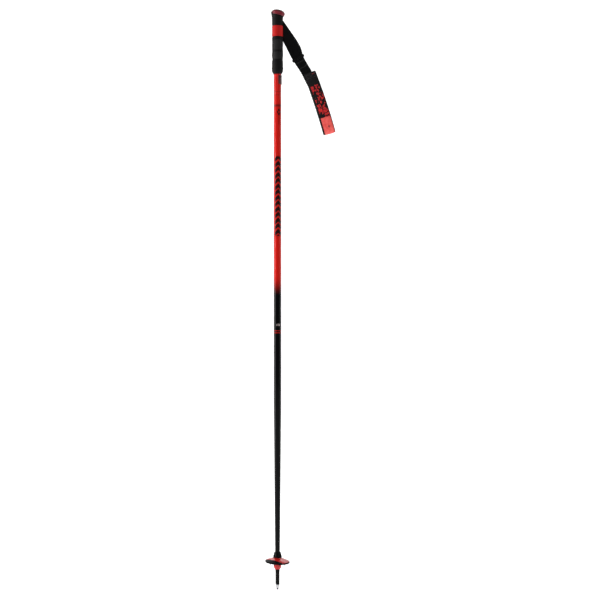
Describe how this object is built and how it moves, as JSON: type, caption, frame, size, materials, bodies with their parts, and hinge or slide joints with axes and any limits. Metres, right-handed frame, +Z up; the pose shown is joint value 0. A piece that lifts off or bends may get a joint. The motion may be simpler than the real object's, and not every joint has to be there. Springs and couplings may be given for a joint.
{
  "type": "ski pole",
  "caption": "Alpine ski pole: tapered metal shaft, ergonomic grip with a domed cap and hand strap, round snow basket and steel tip.",
  "frame": {"origin": "centre of the tip pin's flat end, on the shaft's axis", "axes": "+Z up the shaft to the grip, +X to the side that the strap leaves from (the skier's side)"},
  "size_m": [0.1515, 0.0527, 1.2499],
  "materials": {
    "shaft_paint": null,
    "label_plastic": "satin dark wine label",
    "black_plastic": "satin moulded",
    "tip_steel": "turned, satin",
    "tip_hard_metal": "ground, dark grey",
    "red_plastic": "gloss moulded",
    "basket_black": "satin moulded",
    "grip_rubber": "soft-touch, fine texture",
    "band_red": "satin",
    "cap_plastic": "high gloss, wine red",
    "webbing": "ribbed woven polyester webbing",
    "printed_webbing": "woven band, black with a red geometric print",
    "lining": "brushed soft lining",
    "patch_fabric": "smooth coated red fabric"
  },
  "bodies": {
    "pole": {"shaft_tube": "shaft_paint", "size_label": "label_plastic", "ferrule": "black_plastic", "tip_sleeve": "tip_steel", "tip_pin": "tip_hard_metal", "grip_core": "black_plastic", "grip_sleeve": "grip_rubber", "grip_band": "band_red", "grip_neck": "grip_rubber", "grip_cap": "cap_plastic", "strap_pin": "tip_steel"},
    "basket": {"basket_disc": "red_plastic", "basket_rim": "basket_black"},
    "strap_ends": {"strap_eyelet": "tip_steel", "strap_leg_front_upper": "webbing", "strap_leg_back_upper": "webbing"},
    "strap_loop": {"strap_leg_front_lower": "webbing", "strap_leg_back_lower": "webbing", "strap_pad_front": "printed_webbing", "strap_pad_fold": "printed_webbing", "strap_pad_back": "printed_webbing", "strap_lining_front": "lining", "strap_lining_fold": "lining", "strap_lining_back": "lining", "strap_end_patch": "patch_fabric"},
    "slider": {"strap_slider": "black_plastic"}
  },
  "joints": [
    {"name": "basket_spin", "type": "hinge", "parent": "pole", "child": "basket", "pos_m": [0, 0, 0.06], "axis": [0, 0, 1], "continuous": true},
    {"name": "strap_swing", "type": "hinge", "parent": "pole", "child": "strap_ends", "pos_m": [0.0045, 0, 1.2175], "axis": [0, -1, 0], "range_deg": [0, 71]},
    {"name": "strap_fold", "type": "hinge", "parent": "strap_ends", "child": "strap_loop", "pos_m": [0.0285, 0, 1.1782], "axis": [0.8572, 0, 0.515], "range_deg": [-60, 60]},
    {"name": "slider_slide", "type": "slide", "parent": "strap_loop", "child": "slider", "axis": [0.5075, 0, -0.8616], "range_m": [0, 0.012]}
  ]
}
